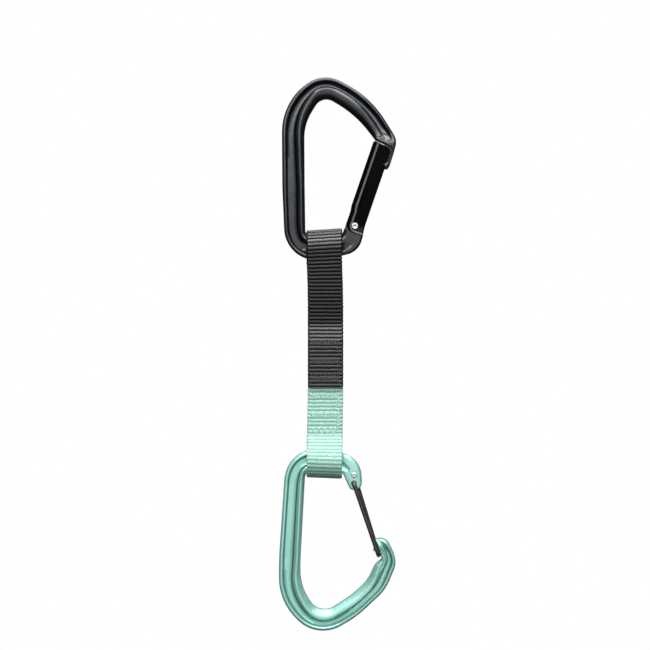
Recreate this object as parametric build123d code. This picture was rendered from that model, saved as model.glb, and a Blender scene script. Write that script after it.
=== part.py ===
from build123d import *
import math
import os

# Climbing quickdraw, millimetres.
# X is across the front view, Y is depth with -Y at the front, and Z is up.
# The origin is the seat of the bolt-end carabiner: the inside of its upper bow, where it
# hangs on a bolt hanger. Everything else hangs below it.

# ---- carabiner frames ----
FRAME_DEPTH = 9.0          # thickness of both forged frames along Y
CHANNEL_DEPTH = 2.2        # depth of the I-beam channel in each face
CHANNEL_END_ROUND = 0.6    # corners where a channel runs out
OUTER_ROUND = 1.9          # edge radius round the outside of a frame
INNER_ROUND = 3.3          # edge radius round the eye of a frame

# A frame is a bent bar. Each row is one bend of it: the outer corner (x, z, radius), the
# inner corner (x, z, radius), and where the channel's two walls lie between them (0 to 1).
# The inner corners of the first rows of the rope end only guide the channel round the hood.
BOLT_END_BENDS = [
    ((36.9, -21.2, 8.0), (25.0, -20.6, 0.0), (0.32, 0.46)),
    ((22.2, 2.0, 54.0), (15.5, -7.9, 56.0), (0.27, 0.48)),
    ((-2.4, 14.2, 16.5), (-2.2, 2.7, 6.5), (0.28, 0.49)),
    ((-23.7, -2.2, 31.0), (-12.2, -12.5, 24.0), (0.27, 0.55)),
    ((-23.5, -46.0, 200.0), (-11.9, -45.0, 200.0), (0.25, 0.65)),
    ((-21.4, -83.2, 16.5), (-11.0, -70.8, 3.0), (0.25, 0.60)),
    ((-1.0, -83.6, 20.0), (-1.0, -71.1, 60.0), (0.25, 0.55)),
    ((16.8, -79.0, 10.0), (7.9, -70.8, 3.0), (0.25, 0.50)),
]
BOLT_END_NOSE_TIP = (33.1, -35.8, 2.0)
BOLT_END_NOSE_THICKNESS = 5.6
BOLT_END_TANG_END = [(19.4, -70.2), (10.4, -64.4)]
# These three are in the gate's own directions, (across, along) from its pivot.
BOLT_END_MOUTH = [(-4.6, 46.1), (5.25, 45.6)]
BOLT_END_NOSE_INSIDE = (5.25, 32.4)
BOLT_END_NOSE_FLANK = [(2.0, 30.0), (12.0, 30.0), (12.0, 43.0), (2.0, 43.0)]

ROPE_END_BENDS = [
    ((31.2, -227.4, 6.0), (26.2, -228.0, 0.0), (0.40, 0.80)),
    ((36.9, -240.5, 11.0), (28.9, -239.0, 0.0), (0.30, 0.52)),
    ((30.7, -255.2, 25.0), (20.6, -250.6, 22.0), (0.25, 0.42)),
    ((15.5, -269.4, 55.0), (13.0, -257.3, 55.0), (0.22, 0.42)),
    ((-5.0, -281.1, 18.5), (-3.8, -268.6, 9.0), (0.22, 0.45)),
    ((-24.7, -261.1, 30.0), (-13.7, -253.2, 28.0), (0.25, 0.60)),
    ((-24.8, -240.0, 200.0), (-13.6, -240.0, 200.0), (0.25, 0.62)),
    ((-20.9, -182.2, 16.5), (-11.1, -194.2, 3.0), (0.25, 0.62)),
    ((4.0, -182.7, 40.0), (-1.0, -193.9, 60.0), (0.25, 0.60)),
    ((17.8, -187.9, 11.5), (8.2, -194.2, 3.0), (0.25, 0.60)),
]
ROPE_END_GUIDE_ROWS = 2
ROPE_END_HOOD = [(25.2, -241.6), (29.0, -238.8), (28.9, -236.0), (26.3, -228.8), (26.4, -227.6)]
ROPE_END_SPUR = [
    (29.5, -227.9, 0.0),
    (26.0, -227.7, 0.5),
    (25.2, -228.7, 0.5),
    (24.2, -234.9, 0.5),
    (26.7, -235.5, 0.5),
    (30.5, -235.0, 0.0),
]
ROPE_END_TANG_END = [(18.7, -203.4), (12.4, -203.4)]
ROPE_END_TANG = [
    (6.0, -184.0, 0.0),
    (17.6, -188.1, 11.0),
    (18.5, -203.4, 3.2),
    (12.4, -203.4, 2.2),
    (7.6, -193.5, 0.0),
]
ROPE_END_RECESS = [
    (10.6, -191.2, 2.0),
    (21.0, -190.0, 0.0),
    (21.0, -207.0, 0.0),
    (6.0, -207.0, 0.0),
    (9.3, -198.6, 1.0),
]

# ---- bolt-end gate ----
GATE_PIVOT = (14.8, -66.1)
GATE_LEAN = 19.0           # degrees that the gate leans right of vertical
GATE_WIDTH = 10.2
GATE_OFFSET = -0.15        # the gate's middle line beside its pivot
GATE_DEPTH = 8.6
GATE_TOP = 45.4            # from the pivot to the top of the gate
GATE_TOP_DROP = 0.7        # the top's right corner is this much lower than its left one
GATE_FOOT = 3.2            # from the pivot down to the end of the cheeks
GATE_CORNER_ROUNDS = (4.4, 1.0, 0.8, 0.6)   # foot left and right, top right and left
GATE_SIDE_ROUND = 2.2
GATE_OPENING = 30.0        # degrees
GATE_CLEARANCE = 0.3       # between the gate's cheeks and the frame
TANG_THICKNESS = 3.0
FORK_WIDTH = 3.2
FORK_DEPTH = 6.6
RIVET_RADIUS = 1.5
RIVET_CLEARANCE = 0.05
RIVET_HEAD_RADIUS = 1.75
RIVET_HEAD_HEIGHT = 0.45
CAM_START = 4.2            # tang radius under the plunger with the gate shut
CAM_RISE = 2.2             # growth of that radius for each radian that the gate opens
CAM_BEFORE = 25.0          # degrees of cam before the shut plunger, at the shut radius
CAM_AFTER = 20.0           # degrees of cam past the open plunger
CAM_ROOT = [(10.2, -64.6), (9.0, -69.0), (15.0, -73.0), (19.0, -68.5)]
PLUNGER_RADIUS = 1.25
PLUNGER_GAP = 0.2          # between plunger and tang
PLUNGER_LENGTH = 6.0
BORE_RADIUS = 1.45
BORE_TOP = 25.0
SPRING_WIRE = 0.35
SPRING_TURNS = 9
SPRING_GAP = 0.1           # between spring and bore

# ---- bolt-end nose: a neck and a bulb that sit in the gate's keyhole ----
NECK_THICKNESS = 2.2
BULB_RADIUS = 1.9
KEYHOLE_CLEARANCE = 0.35
BULB_ALONG = 35.4          # from the pivot to the bulb, along the gate
NOSE_REACH = -2.4          # how far the neck reaches across the gate
NOSE_ROOT = 1.2            # how far the neck and bulb run into the nose beside the gate
NECK_TOP = 46.9            # and the neck runs up into the bow, from the pivot

# ---- rope-end wire gate ----
WIRE_RADIUS = 1.15
UPPER_HOLE = (14.35, -195.7)
LOWER_HOLE = (14.25, -199.9)
WIRE_CROWN = (27.2, -237.6)
ROPE_TANG_THICKNESS = 5.0
LEG_SPREAD = 4.15          # each leg stands this far from the middle at the holes
CROWN_SPREAD = 2.5         # and this far where the crown begins
WIRE_HOLE_BEND = 1.6
WIRE_CROWN_BEND = 2.3
WIRE_END = 0.2             # the cut ends stand this much out of the tang
UPPER_HOLE_CLEARANCE = 0.05
LOWER_HOLE_CLEARANCE = 0.30
CROWN_GAP = 0.04           # the two halves of the wire meet at the middle
SPUR_THICKNESS = 2.0

# ---- sling ----
WEBBING_WIDTH = 18.0
WEBBING_CENTRE_X = -0.9
WEBBING_THICKNESS = 1.9
BOLT_BAR_Z = -76.9         # the sling swings round the middle of this bar
ROPE_BAR_Z = -188.4
BOLT_LOOP_RADIUS = 7.45    # inside the black loop
ROPE_LOOP_RADIUS = 7.0     # inside the teal loop
BLACK_CROTCH = 12.0        # from a loop's neck to where its two sides part
TEAL_CROTCH = 1.5
CROTCH_HALF = 0.1
FLEX_Z = -122.6            # the sling folds here, above its sewn stretch
FLEX_GAP = 1.0
TAIL_TOP = [(0.25, 0.0), (1.9, 1.2), (3.85, 1.9)]   # how far out, and how much lower
LAYER_GAP = 0.05
BLACK_TAIL_END_Z = -149.7
TEAL_CORE_TOP_Z = -125.2
TEAL_NECK_Z = -175.5       # below this the teal webbing opens round the rope-end bar
THREAD = 0.35              # height of the stitching on the webbing
KEEPER_GAP = 0.15
KEEPER_TOP_GAP = 1.8       # from the neck down to the top of the rubber wedge
KEEPER_TOP_HALF = 0.2
KEEPER_FOOT = 4.0          # the wedge stands on the bar's circle, this far above its middle
KEEPER_WIDTH = 16.0
TACK_WIDTH = 16.6
BLACK_TACKS = {"upper": (-125.1, -128.6), "middle": (-133.7, -138.4), "lower": (-143.1, -147.8)}
TEAL_TACKS = {"upper": (-152.8, -156.0), "middle": (-162.3, -165.5), "lower": (-170.8, -174.7)}
EDGE_STITCH_X = 6.0
EDGE_STITCH_WIDTH = 1.0
STITCH_GAP = 0.1           # between the running stitch and the bar tacks


def between(a, b, share):
    return tuple(p + (q - p) * share for p, q in zip(a, b))


def rounded(points, radii, closed=True):
    """Straight runs joined by tangent arcs, through 3-D points with a radius at each."""
    count = len(points)
    points = [Vector(*p) for p in points]
    joints = []
    for i, (corner, radius) in enumerate(zip(points, radii)):
        if radius == 0 or (not closed and i in (0, count - 1)):
            joints.append((corner, None, corner))
            continue
        back = (points[i - 1] - corner).normalized()
        ahead = (points[(i + 1) % count] - corner).normalized()
        half = math.radians(back.get_angle(ahead)) / 2
        reach = radius / math.tan(half)
        inward = (back + ahead).normalized()
        crest = corner + inward * (radius / math.sin(half) - radius)
        joints.append((corner + back * reach, crest, corner + ahead * reach))
    edges = []
    for i, (start, crest, end) in enumerate(joints):
        if crest is not None:
            edges.append(ThreePointArc(start, crest, end))
        if closed or i < count - 1:
            follower = joints[(i + 1) % count][0]
            if (follower - end).length > 1e-4:
                edges.append(Line(end, follower))
    return Wire(edges)


def plate(corners, thickness, middle=0.0):
    """A plate in the XZ plane. Its corners are (x, z) or (x, z, radius)."""
    points = [(c[0], middle, c[1]) for c in corners]
    radii = [c[2] if len(c) > 2 else 0.0 for c in corners]
    face = Face(rounded(points, radii))
    return extrude(face, amount=thickness / 2, dir=(0, 1, 0), both=True)


def disc(centre, radius, thickness, middle=0.0):
    return Pos(centre[0], middle, centre[1]) * Rot(90, 0, 0) * Cylinder(radius, thickness)


def gate_point(across, along, opened=0.0):
    """A point in the gate's own directions, with the gate opened by some degrees."""
    lean = math.radians(GATE_LEAN - opened)
    return (
        GATE_PIVOT[0] + across * math.cos(lean) + along * math.sin(lean),
        GATE_PIVOT[1] - across * math.sin(lean) + along * math.cos(lean),
    )


def gate_outline(opened=0.0, grow=0.0):
    left = GATE_OFFSET - GATE_WIDTH / 2 - grow
    right = GATE_OFFSET + GATE_WIDTH / 2 + grow
    foot = -GATE_FOOT - grow
    top = GATE_TOP + grow
    corners = [(left, foot), (right, foot), (right, top - GATE_TOP_DROP), (left, top)]
    return [gate_point(*c, opened) + (r,) for c, r in zip(corners, GATE_CORNER_ROUNDS)]


def channels(bends):
    """The channel pockets of the I-beam section, one in each face."""
    near = [between(outer, inner, walls[0]) for outer, inner, walls in bends]
    far = [between(outer, inner, walls[1]) for outer, inner, walls in bends]
    for wall in (near, far):
        wall[0] = wall[0][:2] + (CHANNEL_END_ROUND,)
        wall[-1] = wall[-1][:2] + (CHANNEL_END_ROUND,)
    outline = near + far[::-1]
    return [plate(outline, 2 * CHANNEL_DEPTH, side * FRAME_DEPTH / 2) for side in (-1, 1)]


def rim_edges(solid, spot):
    """The front and back edge of a bar nearest to a point of the front view."""
    rim = FRAME_DEPTH / 2 - 0.01
    edges = [e for e in solid.edges() if abs((e @ 0.5).Y) > rim]
    return sorted(edges, key=lambda e: math.dist(((e @ 0.5).X, (e @ 0.5).Z), spot))[:2]


def forged_bar(bends, start, finish, spine_row, guide_rows=0):
    """The bent bar of a frame: rounded a little outside, more inside, and channelled."""
    outer = [b[0] for b in bends]
    inner = [b[1] for b in bends[guide_rows:]]
    bar = plate(start + outer + finish + inner[::-1], FRAME_DEPTH)
    bar = fillet(rim_edges(bar, bends[spine_row][0][:2]), radius=OUTER_ROUND)
    return fillet(rim_edges(bar, bends[spine_row][1][:2]), radius=INNER_ROUND)


def save(node, shape):
    export_step(shape, f"parts/{node}.step")
    return shape


# ---- bolt-end carabiner ----


def cam_tang():
    """The tang: a plate round the rivet whose edge rises evenly under the plunger."""
    steps = 8
    first = GATE_LEAN + CAM_BEFORE
    last = GATE_LEAN - GATE_OPENING - CAM_AFTER
    points = []
    for i in range(steps + 1):
        tilt = first + (last - first) * i / steps
        radius = CAM_START + CAM_RISE * math.radians(max(0.0, GATE_LEAN - tilt))
        x = GATE_PIVOT[0] + radius * math.sin(math.radians(tilt))
        z = GATE_PIVOT[1] + radius * math.cos(math.radians(tilt))
        points.append((x, 0, z))
    cam = Spline(*points)
    root = Polyline(points[-1], *[(x, 0, z) for x, z in CAM_ROOT], points[0])
    face = Face(Wire([cam] + root.edges()))
    return extrude(face, amount=TANG_THICKNESS / 2, dir=(0, 1, 0), both=True)


def gate_sweep():
    """The space that the gate's cheeks pass through, outside the tang."""
    steps = 6
    space = None
    for i in range(steps + 1):
        opened = GATE_OPENING * i / steps
        block = plate(gate_outline(opened, GATE_CLEARANCE), FRAME_DEPTH + 2)
        space = block if space is None else space + block
    return space


def keyhole(grow):
    """The nose's neck and bulb, or with room added, the slot that they sit in."""
    thickness = NECK_THICKNESS + 2 * grow
    left = NOSE_REACH - grow
    right = GATE_OFFSET + GATE_WIDTH / 2 + NOSE_ROOT
    corners = [(left, BULB_ALONG), (right, BULB_ALONG), (right, NECK_TOP), (left, NECK_TOP)]
    neck = plate([gate_point(*c) for c in corners], thickness)
    x, z = gate_point((left + right) / 2, BULB_ALONG)
    across_gate = Pos(x, 0, z) * Rot(0, GATE_LEAN, 0) * Rot(0, 90, 0)
    return neck + across_gate * Cylinder(BULB_RADIUS + grow, right - left)


def bolt_end_frame():
    mouth = [gate_point(*c) for c in BOLT_END_MOUTH]
    nose = mouth + [gate_point(*BOLT_END_NOSE_INSIDE), BOLT_END_NOSE_TIP]
    bar = forged_bar(BOLT_END_BENDS, nose, BOLT_END_TANG_END, 4)
    for pocket in channels(BOLT_END_BENDS[:-1]):
        bar -= pocket
    flank = [gate_point(*c) for c in BOLT_END_NOSE_FLANK]
    cut = (FRAME_DEPTH - BOLT_END_NOSE_THICKNESS) / 2
    for side in (-1, 1):
        bar -= plate(flank, cut, side * (FRAME_DEPTH - cut) / 2)
    bar -= gate_sweep()
    bar += cam_tang()
    bar += keyhole(0.0)
    return bar - disc(GATE_PIVOT, RIVET_RADIUS, FRAME_DEPTH)


def gate_cylinder(radius, low, high):
    """A round solid on the gate's middle line."""
    x, z = gate_point(0.0, (low + high) / 2)
    return Pos(x, 0, z) * Rot(0, GATE_LEAN, 0) * Cylinder(radius, high - low)


def bolt_end_gate():
    gate = plate(gate_outline(), GATE_DEPTH)
    rim = GATE_DEPTH / 2 - 0.01
    long_edges = [e for e in gate.edges() if abs((e @ 0.5).Y) > rim and e.length > GATE_TOP / 2]
    gate = fillet(long_edges, radius=GATE_SIDE_ROUND)
    reach = GATE_WIDTH
    fork = [(-reach, -reach), (reach, -reach), (reach, FORK_DEPTH), (-reach, FORK_DEPTH)]
    gate -= plate([gate_point(*c) for c in fork], FORK_WIDTH)
    gate -= keyhole(KEYHOLE_CLEARANCE)
    gate -= gate_cylinder(BORE_RADIUS, FORK_DEPTH - 1.0, BORE_TOP)
    return gate - disc(GATE_PIVOT, RIVET_RADIUS + RIVET_CLEARANCE, GATE_DEPTH + 1)


def bolt_end_gate_rivet():
    rivet = disc(GATE_PIVOT, RIVET_RADIUS, GATE_DEPTH)
    for side in (-1, 1):
        middle = side * (GATE_DEPTH / 2 + RIVET_CLEARANCE + RIVET_HEAD_HEIGHT / 2)
        head = disc(GATE_PIVOT, RIVET_HEAD_RADIUS, RIVET_HEAD_HEIGHT, middle)
        neck = disc(GATE_PIVOT, RIVET_RADIUS, 2 * RIVET_HEAD_HEIGHT, side * GATE_DEPTH / 2)
        rivet += head + neck
    return rivet


def bolt_end_gate_plunger():
    low = CAM_START + PLUNGER_GAP
    x, z = gate_point(0.0, low + PLUNGER_RADIUS)
    body = gate_cylinder(PLUNGER_RADIUS, low + PLUNGER_RADIUS, low + PLUNGER_LENGTH)
    return body + Pos(x, 0, z) * Sphere(PLUNGER_RADIUS)


def bolt_end_gate_spring():
    low = CAM_START + PLUNGER_GAP + PLUNGER_LENGTH
    height = BORE_TOP - low - 2 * SPRING_WIRE
    radius = BORE_RADIUS - SPRING_WIRE - SPRING_GAP
    coil = Helix(pitch=height / SPRING_TURNS, height=height, radius=radius)
    section = Plane(coil @ 0, z_dir=coil % 0) * Circle(SPRING_WIRE)
    spring = sweep(section, path=coil)
    x, z = gate_point(0.0, low + SPRING_WIRE)
    return Pos(x, 0, z) * Rot(0, GATE_LEAN, 0) * spring


# ---- rope-end carabiner ----


def rope_end_frame():
    bar = forged_bar(ROPE_END_BENDS, ROPE_END_HOOD, ROPE_END_TANG_END, 6, ROPE_END_GUIDE_ROWS)
    for pocket in channels(ROPE_END_BENDS[1:]):
        bar -= pocket
    bar -= plate(ROPE_END_RECESS, FRAME_DEPTH + 2)
    bar += plate(ROPE_END_TANG, ROPE_TANG_THICKNESS)
    bar += plate(ROPE_END_SPUR, SPUR_THICKNESS)
    bar -= disc(UPPER_HOLE, WIRE_RADIUS + UPPER_HOLE_CLEARANCE, FRAME_DEPTH)
    return bar - disc(LOWER_HOLE, WIRE_RADIUS + LOWER_HOLE_CLEARANCE, FRAME_DEPTH)


def wire_leg(hole, side):
    """Half of the wire gate: from its end in the tang, down one side, to mid-crown."""
    end = -side * (ROPE_TANG_THICKNESS / 2 + WIRE_END)
    points = [
        (hole[0], end, hole[1]),
        (hole[0], side * LEG_SPREAD, hole[1]),
        (WIRE_CROWN[0], side * CROWN_SPREAD, WIRE_CROWN[1]),
        (WIRE_CROWN[0], side * CROWN_GAP / 2, WIRE_CROWN[1]),
    ]
    path = rounded(points, [0, WIRE_HOLE_BEND, WIRE_CROWN_BEND, 0], closed=False)
    section = Plane(path @ 0, z_dir=path % 0) * Circle(WIRE_RADIUS)
    return sweep(section, path=path, transition=Transition.RIGHT)


# ---- sling ----


def teardrop(bar_z, radius, neck_z, neck_half):
    """The side view of a loop: a circle round the bar, closing towards a flat neck."""
    rise = neck_z - bar_z
    away = 1 if rise > 0 else -1
    distance = math.hypot(neck_half, rise)
    towards_neck = math.atan2(abs(rise), neck_half)
    touch = towards_neck - math.acos(radius / distance)
    y = radius * math.cos(touch)
    z = bar_z + away * radius * math.sin(touch)
    far = (0, 0, bar_z - away * radius)
    return Face(
        Wire(
            [
                Line((0, -neck_half, neck_z), (0, -y, z)),
                ThreePointArc((0, -y, z), far, (0, y, z)),
                Line((0, y, z), (0, neck_half, neck_z)),
                Line((0, neck_half, neck_z), (0, -neck_half, neck_z)),
            ]
        )
    )


def webbing(side_view, width=WEBBING_WIDTH):
    slab = extrude(side_view, amount=width / 2, dir=(1, 0, 0), both=True)
    return Pos(WEBBING_CENTRE_X, 0, 0) * slab


def side_view(corners):
    return Face(Wire(Polyline(*[(0, y, z) for y, z in corners], close=True).edges()))


def black_webbing_loop():
    neck = FLEX_Z + FLEX_GAP / 2
    outer = teardrop(BOLT_BAR_Z, BOLT_LOOP_RADIUS + WEBBING_THICKNESS, neck, WEBBING_THICKNESS)
    inner = teardrop(BOLT_BAR_Z, BOLT_LOOP_RADIUS, neck + BLACK_CROTCH, CROTCH_HALF)
    return webbing(outer) - webbing(inner, 2 * WEBBING_WIDTH)


def black_webbing_tails():
    top = FLEX_Z - FLEX_GAP / 2
    outside = TAIL_TOP[-1][0]
    corners = [(0.0, top)] + [(y, top - drop) for y, drop in TAIL_TOP]
    corners += [(outside, BLACK_TAIL_END_Z), (WEBBING_THICKNESS, BLACK_TAIL_END_Z)]
    corners += [(WEBBING_THICKNESS, TEAL_CORE_TOP_Z), (0.0, TEAL_CORE_TOP_Z)]
    tail = webbing(side_view(corners))
    return tail + mirror(tail, about=Plane.XZ)


def teal_webbing():
    t = WEBBING_THICKNESS
    ends = (TEAL_CORE_TOP_Z, TEAL_NECK_Z)
    core = side_view([(-t, ends[0]), (t, ends[0]), (t, ends[1]), (-t, ends[1])])
    outer = teardrop(ROPE_BAR_Z, ROPE_LOOP_RADIUS + t, TEAL_NECK_Z, t)
    inner = teardrop(ROPE_BAR_Z, ROPE_LOOP_RADIUS, TEAL_NECK_Z - TEAL_CROTCH, CROTCH_HALF)
    return webbing(core) + webbing(outer) - webbing(inner, 2 * WEBBING_WIDTH)


def rope_end_keeper():
    radius = ROPE_LOOP_RADIUS - KEEPER_GAP
    wedge = teardrop(ROPE_BAR_Z, radius, TEAL_NECK_Z - KEEPER_TOP_GAP, KEEPER_TOP_HALF)
    middle = Pos(WEBBING_CENTRE_X, 0, ROPE_BAR_Z)
    seat = middle * Rot(0, 90, 0) * Cylinder(ROPE_LOOP_RADIUS, 2 * WEBBING_WIDTH)
    below = middle * Pos(0, 0, KEEPER_FOOT - WEBBING_WIDTH) * Box(*[2 * WEBBING_WIDTH] * 3)
    return webbing(wedge, KEEPER_WIDTH) - seat - below


def bar_tack(span, face):
    """Two rows of dense thread, one on the front and one on the back of the sling."""
    top, bottom = span
    tack = None
    for side in (-1, 1):
        block = Pos(WEBBING_CENTRE_X, side * (face + THREAD / 2), (top + bottom) / 2)
        block = block * Box(TACK_WIDTH, THREAD, top - bottom)
        tack = block if tack is None else tack + block
    return tack


def edge_stitching():
    """The running stitch that joins one bar tack to the next."""
    rows = None
    faces = [(BLACK_TACKS, 2 * WEBBING_THICKNESS + LAYER_GAP), (TEAL_TACKS, WEBBING_THICKNESS)]
    for tacks, face in faces:
        pairs = [("upper", "middle"), ("middle", "lower")]
        for above, below in pairs:
            top = tacks[above][1] - STITCH_GAP
            bottom = tacks[below][0] + STITCH_GAP
            for side in (-1, 1):
                place = Pos(EDGE_STITCH_X, side * (face + THREAD / 2), (top + bottom) / 2)
                run = place * Box(EDGE_STITCH_WIDTH, THREAD, top - bottom)
                rows = run if rows is None else rows + run
    return rows


def build():
    os.makedirs("parts", exist_ok=True)
    save("bolt_end_frame", bolt_end_frame())
    save("bolt_end_gate", bolt_end_gate())
    save("bolt_end_gate_rivet", bolt_end_gate_rivet())
    save("bolt_end_gate_plunger", bolt_end_gate_plunger())
    save("bolt_end_gate_spring", bolt_end_gate_spring())
    save("rope_end_frame", rope_end_frame())
    save("wire_gate_back_leg", wire_leg(UPPER_HOLE, 1))
    save("wire_gate_front_leg", wire_leg(LOWER_HOLE, -1))
    save("black_webbing_loop", black_webbing_loop())
    save("black_webbing_tails", black_webbing_tails())
    save("teal_webbing", teal_webbing())
    save("rope_end_keeper", rope_end_keeper())
    for name, span in BLACK_TACKS.items():
        save(f"{name}_black_bar_tack", bar_tack(span, 2 * WEBBING_THICKNESS + LAYER_GAP))
    for name, span in TEAL_TACKS.items():
        save(f"{name}_teal_bar_tack", bar_tack(span, WEBBING_THICKNESS))
    save("edge_stitching", edge_stitching())


build()
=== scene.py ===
import math

import bmesh
import bpy
import numpy as np
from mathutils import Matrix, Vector


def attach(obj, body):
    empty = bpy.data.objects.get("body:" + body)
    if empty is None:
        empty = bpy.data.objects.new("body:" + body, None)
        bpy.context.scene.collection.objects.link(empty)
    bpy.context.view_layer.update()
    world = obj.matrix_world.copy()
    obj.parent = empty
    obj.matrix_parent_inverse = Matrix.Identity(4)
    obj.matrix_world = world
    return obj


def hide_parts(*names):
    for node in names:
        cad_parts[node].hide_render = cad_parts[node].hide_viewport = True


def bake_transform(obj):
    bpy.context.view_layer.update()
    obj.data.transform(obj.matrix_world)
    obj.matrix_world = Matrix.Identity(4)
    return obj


# A climbing quickdraw: two carabiners joined by a sewn sling.
# Lengths are millimetres in the CAD's frame, and MM turns them into metres as a mesh is made.
# Angles are degrees.
# X is across the front view, -Y is towards the viewer and Z is up.
MM = 0.001
WELD_DISTANCE = 2e-6  # metres
SLAB_STEPS = 4  # sections in the round of a plate's edge

# ---- forged frames ----
HALF_DEPTH = 4.5
WEB_DEPTH = 2.2  # depth of the channel in each face
STATION_STEP = 0.7  # distance between the sections of a swept bar
SECTION_STEPS = 8  # points in each curve of a section
RIM_ROUND = 1.15  # round of the outer edge
RIM_SHARE = 0.32  # and the most that it takes of the bar's width
BAND_DROP = 2.7  # how far back the round of the eye's edge reaches
BAND_SHOULDER = 0.5  # the band beside the channel starts this much lower than its crest
SOFTEN_REACH = 3  # stations over which a bend's values give way to the next
EASE_REACH = 6  # stations over which the channel is eased past a corner
EASE_FIRST = 8  # the channel's points start after this one of a section
EASE_LAST = 11  # and stop this many before its end
EASE_FADE = 4  # points over which the easing comes in and goes out
OUTER_WALL_SHADE = 0.5  # painted shade in the outer wall of the channel, as a share of that in the inner wall

# Each row is one bend of a bar: outer corner (x, z, radius), inner corner (x, z, radius),
# the shares of the width where the rim ends, the floor starts, the floor ends and the band
# starts, then the channel's depth share, the eye's edge round and half the bar's depth.
BOLT_END_ROWS = [
    ((30.6, -36.3, 0), (30.2, -35.9, 0), (0.35, 0.45, 0.55, 0.65), 0, 0.4, 2.2),
    ((32.7, -35.4, 2.4), (31.1, -34.7, 0), (0.35, 0.45, 0.55, 0.65), 0, 0.5, 2.8),
    ((34.85, -28.6, 0), (33.4, -28.2, 0), (0.35, 0.45, 0.55, 0.65), 0, 0.5, 3.2),
    ((35.85, -24.8, 0), (34.5, -24.9, 2.4), (0.3, 0.4, 0.5, 0.6), 0, 0.6, 4.5),
    ((36.9, -21.2, 8), (25.5, -21.0, 0), (0.12, 0.3, 0.48, 0.56), 0, 1.6, 4.5),
    ((34.8, -17.85, 0), (24.4, -19.6, 0), (0.1, 0.3, 0.5, 0.62), 0.5, 2.0, 3.6),
    ((32.2, -13.6, 0), (22.0, -16.6, 0), (0.11, 0.32, 0.46, 0.54), 0.6, 2.8, 3.7),
    ((22.2, 2.0, 54), (15.5, -7.9, 56), (0.13, 0.32, 0.4, 0.47), 0.9, 4.6, 4.3),
    ((-2.4, 14.2, 16.5), (-2.2, 2.7, 6.5), (0.13, 0.31, 0.39, 0.46), 1, 5.0, 4.5),
    ((-23.3, -2.2, 31), (-11.6, -12.5, 26), (0.15, 0.27, 0.5, 0.6), 1, 3.6, 4.5),
    ((-23.0, -46, 200), (-11.4, -45, 200), (0.155, 0.25, 0.61, 0.72), 1, 1.9, 4.5),
    ((-21.4, -83.2, 16.5), (-11, -70.8, 3), (0.14, 0.24, 0.56, 0.66), 1, 2.6, 4.5),
    ((-1, -83.6, 20), (-1, -71.1, 60), (0.14, 0.25, 0.5, 0.6), 1, 3.3, 4.5),
    ((16.8, -79, 10), (7.9, -70.8, 3), (0.2, 0.35, 0.45, 0.6), 0, 3.0, 4.5),
    ((19.2, -70.4, 0), (10.4, -64.4, 0), (0.2, 0.35, 0.45, 0.6), 0, 2.0, 4.5),
]
ROPE_END_ROWS = [
    ((27.8, -228.7, 0), (25.4, -229.4, 0), (0.3, 0.45, 0.55, 0.7), 0, 0.5, 3.6),
    ((31.6, -229.0, 6), (26.8, -232.5, 0), (0.3, 0.42, 0.54, 0.64), 0, 0.7, 4.5),
    ((33.6, -233.2, 0), (27.9, -235.4, 0), (0.16, 0.36, 0.48, 0.56), 1, 0.9, 4.5),
    ((36.9, -240.5, 11), (28.8, -239.7, 0.4), (0.14, 0.36, 0.48, 0.56), 1, 1.2, 4.5),
    ((35.0, -245.0, 0), (25.3, -242.5, 0.5), (0.15, 0.32, 0.46, 0.54), 1, 2.2, 4.5),
    ((30.7, -255.2, 25), (21.1, -251.2, 22), (0.15, 0.26, 0.44, 0.53), 1, 3.6, 4.5),
    ((15.5, -269.4, 55), (13.4, -258.2, 55), (0.15, 0.26, 0.43, 0.52), 1, 4.8, 4.5),
    ((-5, -281.1, 18.5), (-3.8, -269.4, 9), (0.15, 0.26, 0.42, 0.52), 1, 4.6, 4.5),
    ((-24.7, -261.1, 30), (-13.7, -253.2, 28), (0.15, 0.27, 0.5, 0.6), 1, 3.2, 4.5),
    ((-24.8, -240, 200), (-13.6, -240, 200), (0.155, 0.26, 0.6, 0.7), 1, 1.9, 4.5),
    ((-20.9, -182.2, 16.5), (-11.1, -194.2, 3), (0.155, 0.26, 0.58, 0.68), 1, 2.6, 4.5),
    ((4, -182.7, 40), (-1, -193.9, 60), (0.15, 0.26, 0.54, 0.66), 1.7, 3.2, 6.0),
    ((17.8, -187.9, 11.5), (8.2, -194.2, 3), (0.15, 0.26, 0.54, 0.66), -2.8, 1.2, -3.5),
    ((18.5, -200.0, 0), (11.0, -200.0, 0), (0.15, 0.26, 0.5, 0.62), -2.8, 0.8, -3.5),
]
THROUGH = 6.0  # half the length of a cutter that goes right through

# ---- bolt-end gate ----
GATE_PIVOT = (14.8, -66.1)
GATE_LEAN = 19.0
GATE_OPENING = 30.0
GATE_LEFT = -5.25  # sides of the gate, from its pivot
GATE_RIGHT = 4.95
GATE_WAIST = 0.45  # the left side steps in by this much near the pivot
GATE_WAIST_TOP = 9.5
GATE_TOP = 45.6
GATE_TOP_DROP = 1.3
GATE_FOOT = 3.4
GATE_HALF_DEPTH = 4.3
GATE_ROUND = 2.9  # how far back the round of the left side reaches
GATE_STEPS = 8  # sections in that round
GATE_ARC = 14  # steps round each of its corners
GATE_INSET = 2.2  # the long bevel starts this far in from the left side
GATE_BEVEL = 0.95  # width of the bevel beside the flat face
GATE_FOOT_INSET = 0.35
GATE_FOOT_BEVEL = 0.7
GATE_SIDE_INSET = 0.5  # on the right side and the top
GATE_FLARE = 0.5  # the right side steps out by this much at the foot
GATE_FLARE_TOP = 2.0
GATE_FACE_DROP = 0.35
TANG_THICKNESS = 3.0
FORK_WIDTH = 3.2
FORK_DEPTH = 6.6
FORK_HALF = 6.5  # half the cutter's size across
HOLE_ROOM = 0.05  # round a pin or wire in its hole
RIVET_RADIUS = 1.5
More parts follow.
